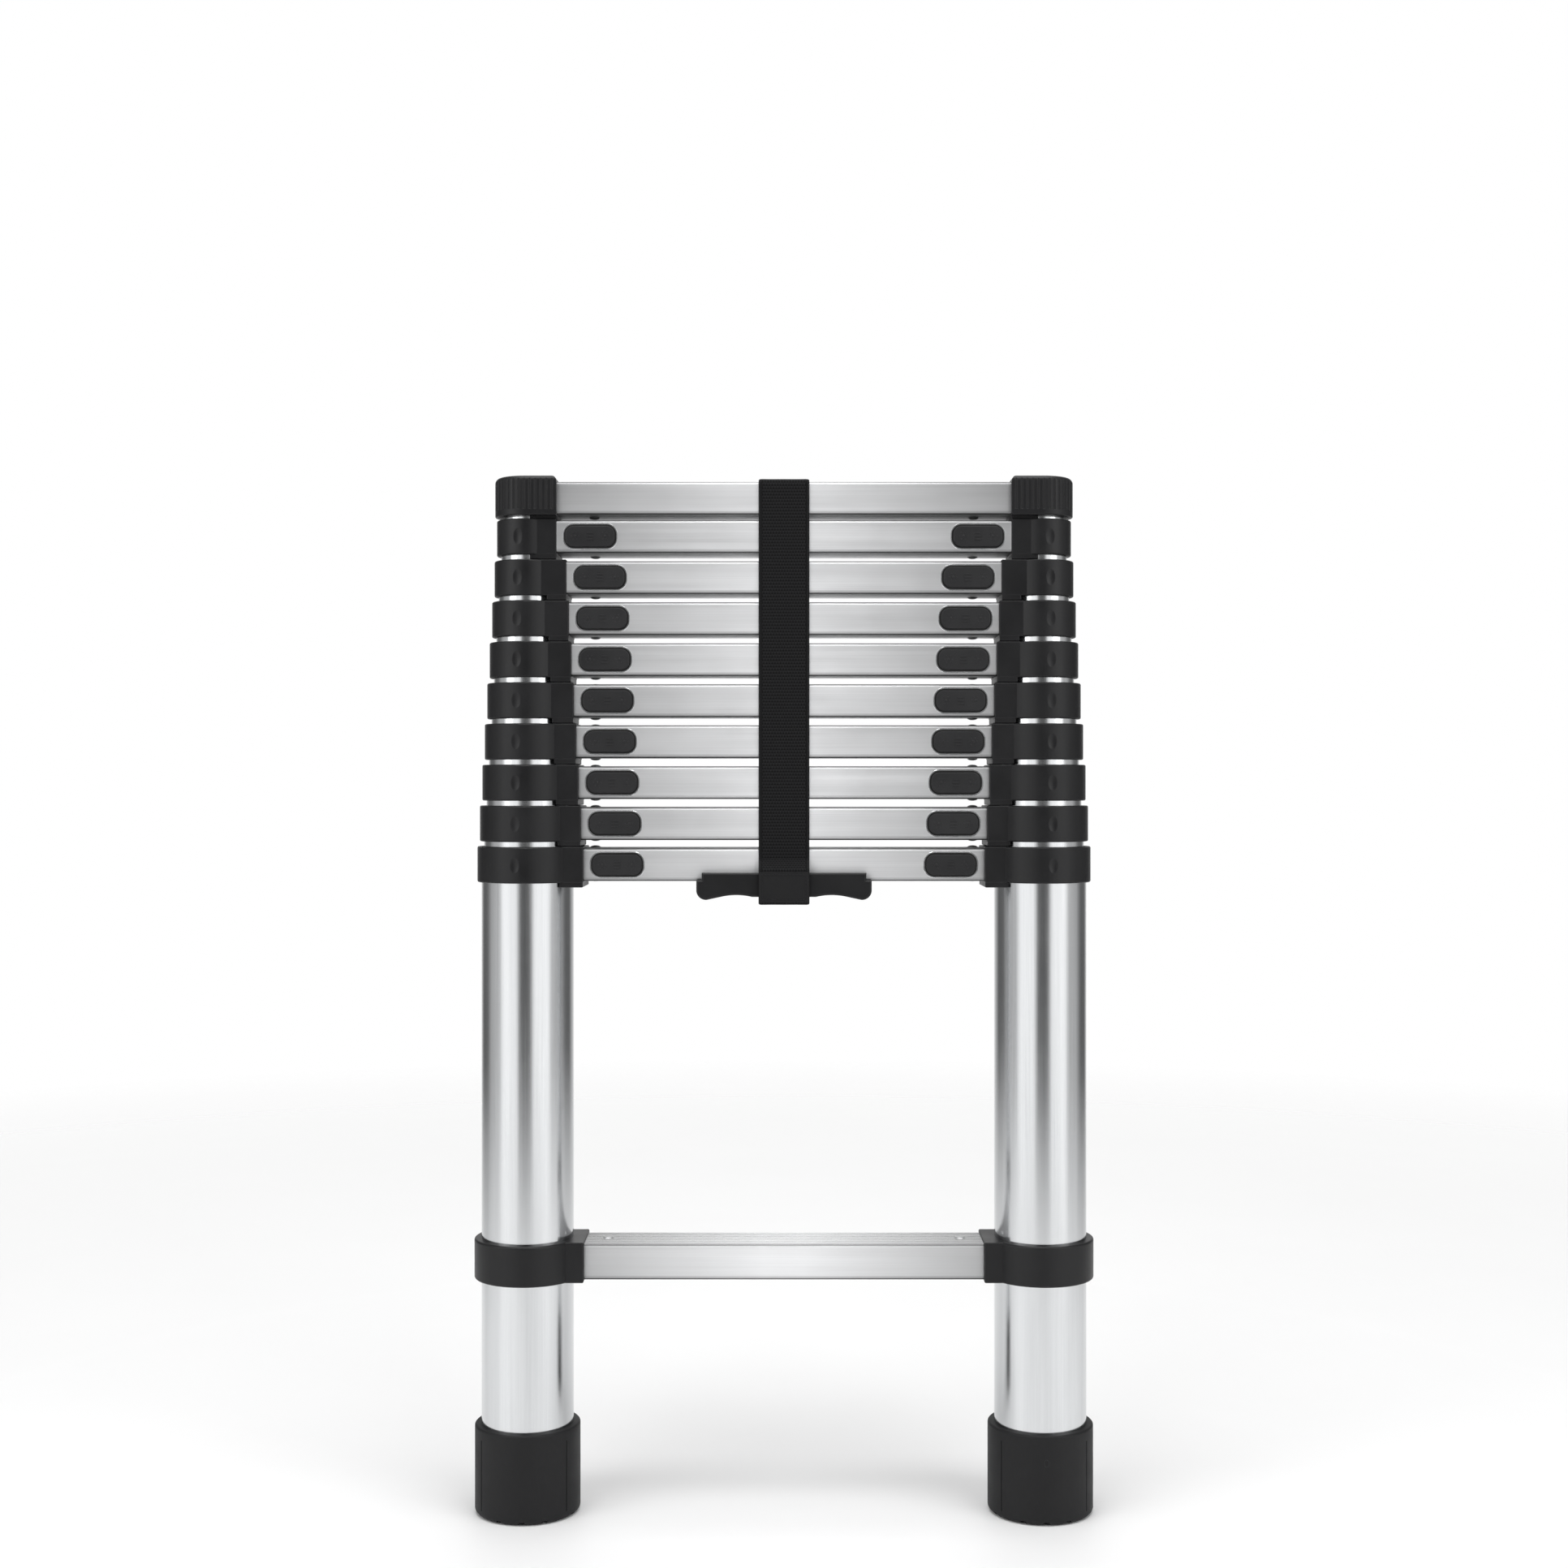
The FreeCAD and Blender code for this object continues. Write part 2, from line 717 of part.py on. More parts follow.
# ---------------------------------------------------------------- handle and strap


def handle():
    """Carrying bar under rung 1, with finger scallops and a lip up the rung's front face."""
    half = cell("handle_width") / 2
    low, high = cell("handle_bottom"), cell("handle_top")
    shoulder = high - 5.5
    arch = low + 3.6
    body = doc.addObject("PartDesign::Body", "HandleBody")
    sketch = body.newObject("Sketcher::SketchObject", "HandleOutline")
    front_plane = [f for f in body.Origin.OriginFeatures if f.Role == "XZ_Plane"][0]
    sketch.AttachmentSupport = [(front_plane, "")]
    sketch.MapMode = "FlatFace"

    for side in (-1, 1):

        def point(inset, z):
            return Vector(side * (half - inset), z, 0)

        outline = [
            Part.LineSegment(Vector(0, high, 0), point(4, high)),
            Part.LineSegment(point(4, high), point(4, shoulder)),
            Part.LineSegment(point(4, shoulder), point(0, shoulder)),
            Part.LineSegment(point(0, shoulder), point(0, low + 7)),
            Part.Arc(point(0, low + 7), point(2.4, low + 1.8), point(8, low)),
            Part.LineSegment(point(8, low), point(20, arch - 1)),
            Part.Arc(point(20, arch - 1), point(30, arch), point(42, arch - 1.4)),
            Part.LineSegment(point(42, arch - 1.4), Vector(0, arch - 1.4, 0)),
        ]
        for edge in outline:
            sketch.addGeometry(edge, False)
    pad = body.newObject("PartDesign::Pad", "HandleBar")
    pad.Profile = sketch
    pad.setExpression("Length", "Sizes.handle_front - Sizes.handle_back")
    doc.recompute()
    soft = body.newObject("PartDesign::Fillet", "HandleSoftEdges")
    soft.Base = (pad, [f"Edge{n}" for n, e in enumerate(pad.Shape.Edges, 1) if outline_edge(e)])
    soft.Radius = 1.6
    body.Tip = soft
    at(body, "0", "-Sizes.handle_back", "0")
    doc.recompute()
    clear_of_rung = box(
        "handle_rung_space",
        ("-Sizes.handle_width", "Sizes.handle_width"),
        (f"{FACE} - 0.1", "30"),
        (f"{level(1)} - Sizes.rung_height / 2 - 0.1", f"{level(1)} + 40"),
    )
    bar = cut("handle_bar", body, clear_of_rung)
    holes = []
    for side, place in (("left", -1), ("right", 1)):
        x = f"{place} * Sizes.screw_place"
        holes.append(rod(f"screw_hole_{side}", SCREW_HOLE, "30", x, SCREW_Y, "460"))
        holes.append(rod(f"screw_seat_{side}", "3.8", "20", x, SCREW_Y, "Sizes.screw_seat - 20"))
    return cut("handle_with_holes", bar, *holes)


def outline_edge(edge):
    """Edges of the bar's front and back outlines, and not those that run through it."""
    return abs(edge.Vertexes[0].Y - edge.Vertexes[-1].Y) < 1e-6


def handle_screw(side, place):
    """Pan-head screw up through the handle into the rung's lower wall."""
    name = f"handle_screw_{side}"
    x = f"{place} * Sizes.screw_place"
    into_rung = f"{level(1)} - Sizes.rung_height / 2 + Sizes.rung_wall + 0.6"
    shank = rod(
        f"{name}_shank", "2", f"{into_rung} - Sizes.screw_seat + 1", x, SCREW_Y, "Sizes.screw_seat - 1"
    )
    head = rod(f"{name}_head", "3.6", "2", x, SCREW_Y, "Sizes.screw_seat - 2")
    return fuse(name, shank, rounded(head, 0.7, lambda edge: is_circle(edge) and low_edge(edge)))


def low_edge(edge):
    return edge.Curve.Center.z < cell("screw_seat") - 1


def strap():
    """Webbing loop round the closed stack of rungs and the handle, drawn round its profile."""
    gap = cell("strap_clearance")
    face = cell("rung_depth") / 2 + gap
    top = cell("first_rung_level") + 9 * cell("closed_pitch")
    top += cell("rung_height") / 2 - cell("top_rung_drop") + gap
    bar_front = cell("handle_front") + cell("strap_thickness") + gap
    bar_low = cell("handle_bottom") - cell("strap_thickness") - gap
    corners = [
        (-face, top),
        (-face, cell("handle_top") + 9),
        (-bar_front, cell("handle_top") + 2),
        (-bar_front, bar_low),
        (1, bar_low),
        (face, cell("first_rung_level") - cell("rung_height") / 2 - 1.5),
        (face, top),
    ]
    inner = Part.makePolygon([Vector(0, y, z) for y, z in corners + corners[:1]])
    outer = inner.makeOffset2D(cell("strap_thickness"), join=0)
    band = Part.Face(outer).cut(Part.Face(inner))
    width = cell("strap_width")
    loop = doc.addObject("Part::Feature", "strap_loop")
    loop.Shape = band.extrude(Vector(width, 0, 0))
    return at(loop, "-Sizes.strap_width / 2", "0", "0")


def strap_sleeve():
    """Webbing sewn round the middle of the handle, which the strap hangs from."""
    thick = "Sizes.strap_thickness"
    half = "Sizes.strap_width / 2"
    outside = box(
        "sleeve_outside",
        (f"-{half}", half),
        (f"-Sizes.handle_front - {thick}", f"-Sizes.handle_back + {thick}"),
        (f"Sizes.handle_bottom - {thick}", f"Sizes.handle_top + {thick}"),
    )
    outside = rounded(outside, 1.9, parallel_to(Vector(1, 0, 0)))
    bar = box(
        "sleeve_bar_space",
        ("-Sizes.handle_width", "Sizes.handle_width"),
        ("-Sizes.handle_front", "-Sizes.handle_back"),
        ("Sizes.handle_bottom", "Sizes.handle_top"),
    )
    above = box(
        "sleeve_rung_space",
        ("-Sizes.handle_width", "Sizes.handle_width"),
        (f"{FACE} - 0.1", "30"),
        (f"{level(1)} - Sizes.rung_height / 2 - 0.1", f"{level(1)} + 40"),
    )
    return cut("sleeve", outside, bar, above)


# ---------------------------------------------------------------- build, check and write


def write_parts():
    doc.recompute()
    broken = [o.Label for o in doc.Objects if "Invalid" in o.State or "Error" in o.State]
    if broken:
        raise SystemExit(f"objects that failed to recompute: {broken}")
    os.makedirs("parts", exist_ok=True)
    for obj in NODES:
        shape = obj.Shape
        if shape.isNull() or not shape.isValid() or not shape.Solids:
            raise SystemExit(f"{obj.Label} has no valid solid")
        shape.exportStep(f"parts/{obj.Label}.step")
    print(f"{len(NODES)} parts written")


def main():
    make_stiles()
    make_rungs()
    for number in BUTTON_RUNGS:
        release_button(number)
    left_foot = foot()
    node("left_foot", left_foot)
    node("right_foot", mirrored("foot_right", left_foot))
    node("handle", handle())
    node("handle_screws", handle_screw("left", -1), handle_screw("right", 1))
    node("strap_sleeve", strap_sleeve())
    node("strap", strap())
    write_parts()


main()
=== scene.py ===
import json
import math

import bmesh
import bpy
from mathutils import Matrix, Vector


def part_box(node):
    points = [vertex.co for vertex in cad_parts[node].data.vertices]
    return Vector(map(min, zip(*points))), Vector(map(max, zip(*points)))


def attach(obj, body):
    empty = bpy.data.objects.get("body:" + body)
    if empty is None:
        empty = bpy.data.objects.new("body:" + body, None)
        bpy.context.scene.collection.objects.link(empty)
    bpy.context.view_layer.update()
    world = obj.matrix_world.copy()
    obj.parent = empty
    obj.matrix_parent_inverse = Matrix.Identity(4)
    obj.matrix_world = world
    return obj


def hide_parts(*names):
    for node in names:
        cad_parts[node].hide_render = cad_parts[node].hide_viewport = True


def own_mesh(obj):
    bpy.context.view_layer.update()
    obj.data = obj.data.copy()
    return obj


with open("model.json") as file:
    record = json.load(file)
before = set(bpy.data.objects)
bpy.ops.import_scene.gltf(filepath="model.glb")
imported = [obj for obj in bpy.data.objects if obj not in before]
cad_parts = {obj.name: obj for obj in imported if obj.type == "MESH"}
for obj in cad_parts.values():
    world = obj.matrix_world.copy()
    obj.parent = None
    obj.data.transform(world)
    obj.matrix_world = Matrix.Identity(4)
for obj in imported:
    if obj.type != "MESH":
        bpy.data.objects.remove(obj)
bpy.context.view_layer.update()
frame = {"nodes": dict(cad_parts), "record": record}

BUTTON_RUNGS = range(1, 10)
SIDES = (("left", -1), ("right", 1))

# ------------------------------------------------------------------ node materials


def set_greys(ramp, stops):
    """Give a colour ramp a list of (position, grey) stops."""
    elements = ramp.color_ramp.elements
    elements[0].position, elements[1].position = stops[0][0], stops[-1][0]
    for place, _ in stops[1:-1]:
        elements.new(place)
    for element, (_, grey) in zip(elements, stops):
        element.color = (grey, grey, grey, 1)


class Nodes:
    """A short way to add and link shader nodes in one material."""

    def __init__(self, name):
        self.material = bpy.data.materials.new(name)
        self.material.use_nodes = True
        self.tree = self.material.node_tree
        self.shader = self.tree.nodes["Principled BSDF"]
        self.coords = self.add("ShaderNodeTexCoord").outputs["Object"]

    def add(self, kind, **inputs):
        made = self.tree.nodes.new(kind)
        for key, value in inputs.items():
            made.inputs[key.replace("_", " ")].default_value = value
        return made

    def link(self, source, target):
        self.tree.links.new(source, target)

    def stretched(self, scale):
        """Object coordinates, scaled differently along each axis."""
        mapping = self.add("ShaderNodeMapping")
        mapping.inputs["Scale"].default_value = scale
        self.link(self.coords, mapping.inputs["Vector"])
        return mapping.outputs["Vector"]

    def noise(self, scale, detail=4.0, size=1.0, roughness=0.55):
        made = self.add("ShaderNodeTexNoise", Scale=size, Detail=detail, Roughness=roughness)
        self.link(self.stretched(scale), made.inputs["Vector"])
        return made.outputs["Fac"]

    def remap(self, value, low, high, source=(0.3, 0.7)):
        made = self.add("ShaderNodeMapRange")
        for key, number in zip(("From Min", "From Max", "To Min", "To Max"), (*source, low, high)):
            made.inputs[key].default_value = number
        self.link(value, made.inputs["Value"])
        return made.outputs["Result"]

    def math(self, operation, a, b=None):
        made = self.tree.nodes.new("ShaderNodeMath")
        made.operation = operation
        for slot, value in enumerate((a, b)):
            if value is None:
                continue
            if isinstance(value, (int, float)):
                made.inputs[slot].default_value = value
            else:
                self.link(value, made.inputs[slot])
        return made.outputs["Value"]

    def colours(self, value, dark, light):
        ramp = self.tree.nodes.new("ShaderNodeValToRGB")
        ramp.color_ramp.elements[0].color = (*dark, 1)
        ramp.color_ramp.elements[1].color = (*light, 1)
        ramp.color_ramp.elements[0].position = 0.25
        ramp.color_ramp.elements[1].position = 0.75
        self.link(value, ramp.inputs["Fac"])
        self.link(ramp.outputs["Color"], self.shader.inputs["Base Color"])

    def roughness(self, value, low, high):
        self.link(self.remap(value, low, high), self.shader.inputs["Roughness"])

    def bump(self, height, strength, distance, edge=0.0):
        """Relief from a height, on a surface whose edges are eased by a small radius."""
        made = self.add("ShaderNodeBump", Strength=strength, Distance=distance)
        self.link(height, made.inputs["Height"])
        if edge:
            eased = self.add("ShaderNodeBevel", Radius=edge)
            eased.samples = 4
            self.link(eased.outputs["Normal"], made.inputs["Normal"])
        self.link(made.outputs["Normal"], self.shader.inputs["Normal"])


BRUSH_STRENGTH, BRUSH_DEPTH = 0.09, 0.0002
RUNG_EDGE_RADIUS, MOULDED_EDGE_RADIUS = 0.0007, 0.0006  # small eased edges, in metres


def brushed(name, along, dark, light, rough, anisotropy):
    """Aluminium with brush lines along one axis, faint blotches and handling marks."""
    n = Nodes(name)
    fine = [2600.0] * 3
    fine[along] = 9.0
    broad = [90.0] * 3
    broad[along] = 3.0
    lines = n.noise(fine, detail=5)
    streaks = n.noise(broad, detail=3)
    both = n.math("ADD", n.math("MULTIPLY", lines, 0.45), n.math("MULTIPLY", streaks, 0.55))
    n.colours(both, dark, light)
    marks = n.noise((38.0, 38.0, 38.0), detail=6)
    n.roughness(n.math("ADD", n.math("MULTIPLY", both, 0.7), n.math("MULTIPLY", marks, 0.3)), *rough)
    n.bump(lines, BRUSH_STRENGTH, BRUSH_DEPTH)
    n.shader.inputs["Metallic"].default_value = 1.0
    n.shader.inputs["Anisotropic"].default_value = anisotropy
    return n.material


RUNG_EDGES = (  # painted shade and painted highlight of the edge lines, by height within the node
    (0.0, 1.0), (0.055, 1.0), (0.058, 0.14), (0.084, 0.16), (0.098, 0.55), (0.128, 0.72), (0.165, 1.0),
    (0.862, 1.0), (0.872, 1.20), (0.898, 1.20), (0.908, 0.34), (0.941, 0.34), (0.946, 1.0),
)
RUNG_FADE = (0.96, 0.48, (0.015, 0.165))  # painted shade near the middle and at the ends, and how far out


def rung_metal():
    """Rung extrusion, brushed lengthways.

    The fade to the ends and the edge lines are painted on and tuned to one rung in the photo.
    On the real one they are probably reflections.
    """
    n = Nodes("rung_metal")
    lines = n.noise((9.0, 2600.0, 2600.0), detail=5)
    streaks = n.noise((3.0, 90.0, 90.0), detail=3)
    both = n.math("ADD", n.math("MULTIPLY", lines, 0.45), n.math("MULTIPLY", streaks, 0.55))
    split = n.tree.nodes.new("ShaderNodeSeparateXYZ")
    n.link(n.coords, split.inputs["Vector"])
    sideways = n.remap(n.math("ABSOLUTE", split.outputs["X"]), *RUNG_FADE)
    generated = n.tree.nodes.new("ShaderNodeTexCoord").outputs["Generated"]
    height = n.tree.nodes.new("ShaderNodeSeparateXYZ")
    n.link(generated, height.inputs["Vector"])
    edges = n.tree.nodes.new("ShaderNodeValToRGB")
    set_greys(edges, RUNG_EDGES)
    n.link(height.outputs["Z"], edges.inputs["Fac"])
    painted = n.math("MULTIPLY", sideways, edges.outputs["Color"])
    shade = n.math("MULTIPLY", painted, n.remap(both, 0.90, 1.06))
    ramp = n.tree.nodes.new("ShaderNodeValToRGB")
    ramp.color_ramp.elements[0].color = (0, 0, 0, 1)
    ramp.color_ramp.elements[1].color = (0.985, 0.99, 1.0, 1)
    n.link(shade, ramp.inputs["Fac"])
    n.link(ramp.outputs["Color"], n.shader.inputs["Base Color"])
    marks = n.noise((38.0, 38.0, 38.0), detail=6)
    n.roughness(n.math("ADD", n.math("MULTIPLY", both, 0.7), n.math("MULTIPLY", marks, 0.3)), 0.44, 0.56)
    n.bump(lines, BRUSH_STRENGTH, BRUSH_DEPTH, RUNG_EDGE_RADIUS)
    n.shader.inputs["Metallic"].default_value = 1.0
    return n.material


def moulded(name, dark, light, rough, grain=2300.0, depth=0.22):
    """Dark plastic or rubber with a fine spark-eroded grain and slow shade changes."""
    n = Nodes(name)
    texture = n.noise((grain,) * 3, detail=3)
    slow = n.noise((26.0, 26.0, 26.0), detail=5)
    n.colours(n.math("ADD", n.math("MULTIPLY", texture, 0.4), n.math("MULTIPLY", slow, 0.6)), dark, light)
    n.roughness(slow, *rough)
    n.bump(texture, depth, 0.00025, MOULDED_EDGE_RADIUS)
    n.shader.inputs["Specular IOR Level"].default_value = 0.30
    return n.material


WEAVE_ROW = 0.0024  # one row of the webbing's weave
WEAVE_RIB = 0.0021
SELVEDGE = 0.0166  # from the tape's middle to where its selvedge starts
SELVEDGE_CORD = 0.0009


def webbing(name):
    """Woven nylon tape: staggered ribs across it, a groove and a finer selvedge down each edge.

    The tape's own map gives metres across it and metres along it.
    """
    n = Nodes(name)
    tape_map = n.tree.nodes.new("ShaderNodeUVMap")
    tape_map.uv_map = "tape"
    split = n.tree.nodes.new("ShaderNodeSeparateXYZ")
    n.link(tape_map.outputs["UV"], split.inputs["Vector"])
    x, along = split.outputs["X"], split.outputs["Y"]
    row = n.math("MULTIPLY", along, 2 * math.pi / WEAVE_ROW)
    half_turn = n.math("MULTIPLY", n.math("FLOOR", n.math("DIVIDE", along, WEAVE_ROW)), math.pi)
    rib = n.math("ADD", n.math("MULTIPLY", x, 2 * math.pi / WEAVE_RIB), half_turn)
    rows = n.math("MULTIPLY", n.math("SINE", row), 0.5)
    body = n.math("ADD", rows, n.math("MULTIPLY", n.math("SINE", rib), 0.5))
    cord_lines = n.math("SINE", n.math("MULTIPLY", x, 2 * math.pi / SELVEDGE_CORD))
    picks = n.math("SINE", n.math("MULTIPLY", along, 4 * math.pi / WEAVE_ROW))
    selvedge = n.math("ADD", n.math("MULTIPLY", cord_lines, 0.55), n.math("MULTIPLY", picks, 0.25))
    off_axis = n.math("ABSOLUTE", x)
    at_edge = n.math("GREATER_THAN", off_axis, SELVEDGE)
    inner = n.math("MULTIPLY", body, n.math("SUBTRACT", 1.0, at_edge))
    weave = n.math("ADD", inner, n.math("MULTIPLY", selvedge, at_edge))
    groove = n.remap(n.math("ABSOLUTE", n.math("SUBTRACT", off_axis, SELVEDGE)), 0.35, 1.0, (0.0, 0.0005))
    fuzz = n.noise((1500.0, 1500.0, 1500.0), detail=4)
    height = n.math("ADD", n.remap(weave, 0.0, 0.8, (-1.0, 1.0)), n.math("MULTIPLY", fuzz, 0.35))
    height = n.math("MULTIPLY", height, groove)
    # Colour follows the height: painted shade, darker in the hollows of the weave and in the groove by each
    # selvedge, with some random tone from the fuzz.
    n.colours(n.remap(height, 0.0, 1.0, (0.1, 1.0)), (0.0012, 0.0012, 0.0013), (0.014, 0.014, 0.015))
    n.roughness(fuzz, 0.62, 0.85)
    n.bump(height, 0.75, 0.0005)
    n.shader.inputs["Specular IOR Level"].default_value = 0.12
    n.shader.inputs["Sheen Weight"].default_value = 0.015
    n.shader.inputs["Sheen Roughness"].default_value = 0.45
    return n.material


MATERIALS = {
    "stile_aluminium": brushed("stile_metal", 2, (0.56, 0.57, 0.58), (0.74, 0.75, 0.76), (0.13, 0.21), 0.2),
    "rung_aluminium": rung_metal(),
    "black_plastic": moulded("collar_plastic", (0.0045, 0.0045, 0.005), (0.010, 0.010, 0.011), (0.34, 0.46)),
    "cap_plastic": moulded("cap_plastic", (0.004, 0.004, 0.0045), (0.009, 0.009, 0.010), (0.36, 0.48)),
    "button_plastic": moulded(
        "button_plastic", (0.010, 0.010, 0.011), (0.020, 0.020, 0.021), (0.42, 0.56), 2400.0,
    ),
    "foot_rubber": moulded(
        "foot_rubber", (0.0035, 0.0035, 0.004), (0.009, 0.009, 0.010), (0.50, 0.66), 1500.0, 0.3,
    ),
    "handle_plastic": moulded("handle_plastic", (0.004, 0.004, 0.0045), (0.009, 0.009, 0.010), (0.38, 0.50)),
    "zinc_steel": brushed("screw_metal", 2, (0.45, 0.46, 0.48), (0.62, 0.63, 0.65), (0.25, 0.4), 0.0),
    "webbing": webbing("webbing"),
    "webbing_patch": moulded(
        "webbing_patch", (0.0015, 0.0015, 0.0018), (0.007, 0.007, 0.008), (0.6, 0.78), 1700.0, 0.4,
    ),
    "thread": moulded("thread", (0.003, 0.003, 0.004), (0.016, 0.016, 0.018), (0.5, 0.7), 2600.0, 0.3),
    "bright_rim": brushed("bright_rim", 0, (0.80, 0.81, 0.82), (0.92, 0.93, 0.94), (0.16, 0.26), 0.0),
    # Partly painted shade: the well's black is far darker than any other plastic, for the shadow in the gap
    # round each pad.
    "well": moulded("painted_shade_button_well", (0.0008, 0.0008, 0.0009), (0.002, 0.002, 0.0022), (0.5, 0.7)),
}


def shade_smooth(mesh, angle=35):
    """Smooth shading, with the edges sharper than the angle kept crisp."""
    for polygon in mesh.polygons:
        polygon.use_smooth = True
    mesh.set_sharp_from_angle(angle=math.radians(angle))


def dress_cad_nodes():
    slots = {entry["node"]: entry["material_slot"] for entry in frame["record"]["subparts"]}
    for name, obj in frame["nodes"].items():
        obj.data.materials.clear()
        obj.data.materials.append(MATERIALS[slots[name]])


# ------------------------------------------------------------------ pieces


def piece(name, mesh_data, body, slot, material=None):
    """A mesh made into a named piece that rides a body."""
    mesh = bpy.data.meshes.new(name)
    mesh_data.to_mesh(mesh)
    mesh_data.free()
    obj = bpy.data.objects.new(name, mesh)
    bpy.context.scene.collection.objects.link(obj)
    mesh.materials.append(material or MATERIALS[slot])
    shade_smooth(mesh)
    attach(obj, body)
    return obj


def prism(made, top, base):
    """A closed block between two matching outlines, given as points."""
    top, base = [made.verts.new(point) for point in top], [made.verts.new(point) for point in base]
    made.faces.new(top)
    made.faces.new(base[::-1])
    for i in range(len(top)):
        k = (i + 1) % len(top)
        made.faces.new((top[i], base[i], base[k], top[k]))


def swept_ring(made, outlines):
    """A closed ring of faces through a series of outlines, joined back to the first."""
    loops = [[made.verts.new(point) for point in points] for points in outlines]
    for a, b in zip(loops, loops[1:] + loops[:1]):
        for i in range(len(a)):
            k = (i + 1) % len(a)
            made.faces.new((a[i], a[k], b[k], b[i]))


def rounded_path(corners, radius, closed, steps=6):
    """Points along a polyline in (y, z), with each corner turned through a small arc."""
    points = []
    count = len(corners)
    for i, here in enumerate(corners):
        if not closed and i in (0, count - 1):
            points.append(Vector(here))
            continue
        here = Vector(here)
        before, after = Vector(corners[i - 1]), Vector(corners[(i + 1) % count])
        into, out = (before - here).normalized(), (after - here).normalized()
        turn = math.pi - into.angle(out)
        back = min(radius * math.tan(turn / 2), (before - here).length / 2.1, (after - here).length / 2.1)
        start, stop = here + into * back, here + out * back
        for step in range(steps + 1):
            t = step / steps
            points.append(start * (1 - t) ** 2 + here * 2 * t * (1 - t) + stop * t ** 2)
    return points


def densified(points, spacing, closed):
    """The same path with no gap longer than the spacing."""
    pairs = list(zip(points, points[1:] + (points[:1] if closed else [])))
    dense = []
    for a, b in pairs if closed else pairs[: len(points) - 1]:
        parts = max(1, math.ceil((b - a).length / spacing))
        dense += [a.lerp(b, part / parts) for part in range(parts)]
    return dense if closed else dense + [points[-1]]


def tape(path, width, thickness, closed):
    """Webbing swept along a path in (y, z): a flat section with soft, slightly thinner edges."""
    half, thick = width / 2, thickness / 2
    profile = [
        (-half, 0.0), (-half + 0.0006, 0.75 * thick), (-half + 0.0022, thick), (-half / 2, 0.92 * thick),
        (0.0, 0.96 * thick), (half / 2, 0.92 * thick), (half - 0.0022, thick), (half - 0.0006, 0.75 * thick),
        (half, 0.0), (half - 0.0006, -0.75 * thick), (half - 0.0022, -thick), (0.0, -0.95 * thick),
        (-half + 0.0022, -thick), (-half + 0.0006, -0.75 * thick),
    ]
    made = bmesh.new()
    layer = made.loops.layers.uv.new("tape")
    rows, lengths = [], [0.0]
    count = len(path)
    for i, here in enumerate(path):
        lengths.append(lengths[-1] + (path[(i + 1) % count] - here).length)
        before = path[i - 1] if closed or i > 0 else here
        after = path[(i + 1) % count] if closed or i < count - 1 else here
        direction = (after - before).normalized()
        normal = Vector((direction.y, -direction.x))
        rows.append([
            made.verts.new((x, here.x + normal.x * out, here.y + normal.y * out)) for x, out in profile
        ])
    for i in range(count if closed else count - 1):
        a, b = rows[i], rows[(i + 1) % count]
        for j in range(len(profile)):
            k = (j + 1) % len(profile)
            face = made.faces.new((a[j], a[k], b[k], b[j]))
            corners = ((a[j], lengths[i]), (a[k], lengths[i]), (b[k], lengths[i + 1]), (b[j], lengths[i + 1]))
            places = {vert: (vert.co.x, length) for vert, length in corners}
            for loop in face.loops:
                loop[layer].uv = places[loop.vert]
    if not closed:
        made.faces.new(rows[0][::-1])
        made.faces.new(rows[-1])
    bmesh.ops.recalc_face_normals(made, faces=made.faces)
    return made


def make_strap():
    """The loop round the closed stack, its sewn patch, the sleeve on the handle and its tail."""
    low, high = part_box("strap")
    handle_low, handle_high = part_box("handle")
    rung_low, rung_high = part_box("rung_5")
    thick = 0.0018
    gap = 0.0013  # from a surface to the middle of the tape
    front, back = rung_low.y - gap, rung_high.y + gap
    top = high.z - 0.001
    bar_front = handle_low.y - 0.002 - gap
    bar_low = handle_low.z - 0.002 - gap + 0.0006
    under_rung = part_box("rung_1_collars")[0].z + 0.002
    corners = [
        (front, top), (front, handle_high.z + 0.0095), (bar_front, handle_high.z + 0.0025),
        (bar_front, bar_low), (0.0015, bar_low), (back, under_rung), (back, top),
    ]
    path = densified(rounded_path(corners, 0.0035, True), 0.004, True)
    width = (high.x - low.x) - 0.0003
    loop = piece("strap_loop_webbing", tape(path, width, thick, True), "strap_loop", "webbing")
    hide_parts("strap")

    outside = bar_front - thick / 2 - 0.0003
    patch_path = [Vector((outside, handle_high.z + 0.001)), Vector((outside, bar_low + 0.001))]
    patch = piece(
        "strap_sewn_patch", tape(densified(patch_path, 0.002, False), width - 0.0004, 0.0006, False),
        "strap_loop", "webbing", MATERIALS["webbing_patch"],
    )
    stitches = piece(
        "strap_stitching", stitch_rows(outside - 0.0004, bar_low + 0.003, handle_high.z - 0.001, width),
        "strap_loop", "webbing", MATERIALS["thread"],
    )

    wrap = 0.0011
    sleeve_corners = [
        (rung_low.y - 0.0008, handle_high.z + wrap), (handle_low.y - wrap, handle_high.z + wrap),
        (handle_low.y - wrap, handle_low.z - wrap), (handle_high.y + wrap, handle_low.z - wrap),
        (handle_high.y + wrap, handle_low.z + 0.0125),
    ]
    sleeve_path = densified(rounded_path(sleeve_corners, 0.0018, False), 0.003, False)
    sleeve = piece("strap_sleeve_webbing", tape(sleeve_path, width, 0.0016, False), "section_0", "webbing")
    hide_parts("strap_sleeve")

    # When the strap is lowered, this ends about 4 mm in front of the loop and doesn't meet it.
    tail_path = [
        Vector((handle_high.y + 0.003, handle_low.z + 0.0012)),
        Vector((back - 0.0045, under_rung + 0.0005)),
    ]
    tail = piece(
        "strap_tail_webbing", tape(densified(tail_path, 0.003, False), width - 0.001, 0.0012, False),
        "section_0", "webbing",
    )
    for soft in (loop, patch, stitches):
        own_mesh(soft)
    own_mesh(tail)


